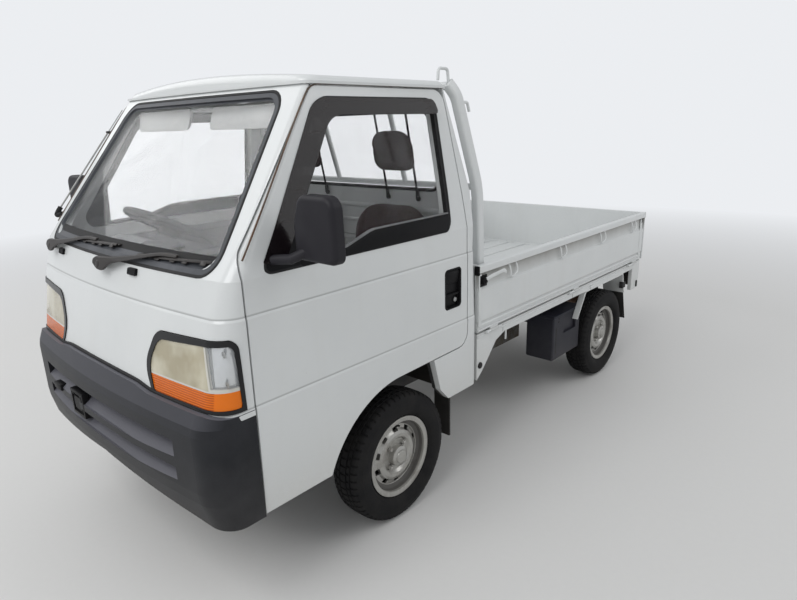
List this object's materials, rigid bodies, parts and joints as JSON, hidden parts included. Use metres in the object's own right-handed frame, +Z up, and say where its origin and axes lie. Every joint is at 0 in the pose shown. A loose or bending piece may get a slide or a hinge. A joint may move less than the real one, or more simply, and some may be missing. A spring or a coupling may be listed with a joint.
{
  "type": "kei truck",
  "caption": "Cab-over mini pick-up truck with hinged doors, drop-side flat bed, guard frame behind the cab, steered front wheels and turning steering wheel.",
  "frame": {"origin": "on the ground, under the middle of the overall box", "axes": "+X to the truck's left side, +Y to its tail, so that it faces -Y, +Z up"},
  "size_m": [1.8278, 3.295, 1.7719],
  "materials": {
    "body_paint": "glossy white paint, lightly soiled",
    "glass": "clear",
    "bumper_plastic": "grained dark grey",
    "black_plastic": "fine grain",
    "lamp_clear": "yellowed clear plastic",
    "lamp_amber": "ribbed amber",
    "lamp_red": "ribbed red",
    "interior_plastic": "grained",
    "seat_cloth": "woven",
    "chassis_black": "satin black, dusty",
    "engine_metal": "cast",
    "exhaust_steel": "dull, rusty",
    "wheel_silver": "silver paint",
    "tyre_rubber": "worn",
    "rubber": "matt",
    "bed_paint": "white paint, worn"
  },
  "bodies": {
    "chassis": {"cab_front": "body_paint", "cab_back": "body_paint", "cab_sides": "body_paint", "cab_roof": "body_paint", "windscreen": "glass", "back_window": "glass", "cab_floor": "body_paint", "front_bumper": "bumper_plastic", "lamp_housings": "black_plastic", "lamp_lenses": "lamp_clear", "turn_lenses": "lamp_amber", "wipers": "black_plastic", "dashboard": "interior_plastic", "seat_cushions": "seat_cloth", "seat_backs": "seat_cloth", "headrests": "seat_cloth", "chassis_frame": "chassis_black", "engine_block": "engine_metal", "fuel_tank": "chassis_black", "exhaust": "exhaust_steel", "rear_axle": "chassis_black", "leaf_springs": "chassis_black", "front_suspension": "chassis_black", "bed_floor": "bed_paint", "bed_skirts": "body_paint", "bed_headboard": "bed_paint", "guard_frame": "body_paint", "battery_box": "black_plastic", "mud_flaps": "rubber", "tail_lamps": "lamp_red", "rear_beam": "chassis_black"},
    "knuckle_left": {"knuckle_left": "chassis_black"},
    "knuckle_right": {"knuckle_right": "chassis_black"},
    "door_left": {"door_left": "body_paint", "door_glass_left": "glass", "mirror_left": "bumper_plastic"},
    "door_right": {"door_right": "body_paint", "door_glass_right": "glass", "mirror_right": "bumper_plastic"},
    "gate_left": {"gate_left": "body_paint"},
    "gate_right": {"gate_right": "body_paint"},
    "tailgate": {"tailgate": "body_paint"},
    "steering_wheel": {"steering_wheel": "black_plastic"},
    "wheel_front_left": {"rim_front_left": "wheel_silver", "tyre_front_left": "tyre_rubber"},
    "wheel_front_right": {"rim_front_right": "wheel_silver", "tyre_front_right": "tyre_rubber"},
    "wheel_rear_left": {"rim_rear_left": "wheel_silver", "tyre_rear_left": "tyre_rubber"},
    "wheel_rear_right": {"rim_rear_right": "wheel_silver", "tyre_rear_right": "tyre_rubber"}
  },
  "joints": [
    {"name": "front_left_steer", "type": "hinge", "parent": "chassis", "child": "knuckle_left", "pos_m": [0.5, -0.7625, 0.271], "axis": [0, 0, 1], "range_deg": [-33, 33]},
    {"name": "front_right_steer", "type": "hinge", "parent": "chassis", "child": "knuckle_right", "pos_m": [-0.5, -0.7625, 0.271], "axis": [0, 0, 1], "range_deg": [-33, 33]},
    {"name": "steering_wheel_turn", "type": "hinge", "parent": "chassis", "child": "steering_wheel", "pos_m": [-0.32, -1.1075, 1.165], "axis": [0, 0.5, 0.866], "range_deg": [-528, 528]},
    {"name": "front_left_spin", "type": "hinge", "parent": "knuckle_left", "child": "wheel_front_left", "pos_m": [0.602, -0.7625, 0.271], "axis": [1, 0, 0], "continuous": true},
    {"name": "rear_left_spin", "type": "hinge", "parent": "chassis", "child": "wheel_rear_left", "pos_m": [0.602, 1.1375, 0.271], "axis": [1, 0, 0], "continuous": true},
    {"name": "door_left_swing", "type": "hinge", "parent": "chassis", "child": "door_left", "pos_m": [0.6935, -1.4265, 0.9], "axis": [0, 0, -1], "range_deg": [0, 65]},
    {"name": "gate_left_drop", "type": "hinge", "parent": "chassis", "child": "gate_left", "pos_m": [0.69, 0.6775, 0.655], "axis": [0, 1, 0], "range_deg": [0, 170]},
    {"name": "front_right_spin", "type": "hinge", "parent": "knuckle_right", "child": "wheel_front_right", "pos_m": [-0.602, -0.7625, 0.271], "axis": [1, 0, 0], "continuous": true},
    {"name": "rear_right_spin", "type": "hinge", "parent": "chassis", "child": "wheel_rear_right", "pos_m": [-0.602, 1.1375, 0.271], "axis": [1, 0, 0], "continuous": true},
    {"name": "door_right_swing", "type": "hinge", "parent": "chassis", "child": "door_right", "pos_m": [-0.6935, -1.4265, 0.9], "axis": [0, 0, 1], "range_deg": [0, 65]},
    {"name": "gate_right_drop", "type": "hinge", "parent": "chassis", "child": "gate_right", "pos_m": [-0.69, 0.6775, 0.655], "axis": [0, -1, 0], "range_deg": [0, 170]},
    {"name": "tailgate_drop", "type": "hinge", "parent": "chassis", "child": "tailgate", "pos_m": [0, 1.641, 0.655], "axis": [-1, 0, 0], "range_deg": [0, 170]}
  ],
  "couplings": [
    {"joint": "front_right_steer", "follows": "front_left_steer", "ratio": 1},
    {"joint": "steering_wheel_turn", "follows": "front_left_steer", "ratio": 16}
  ]
}
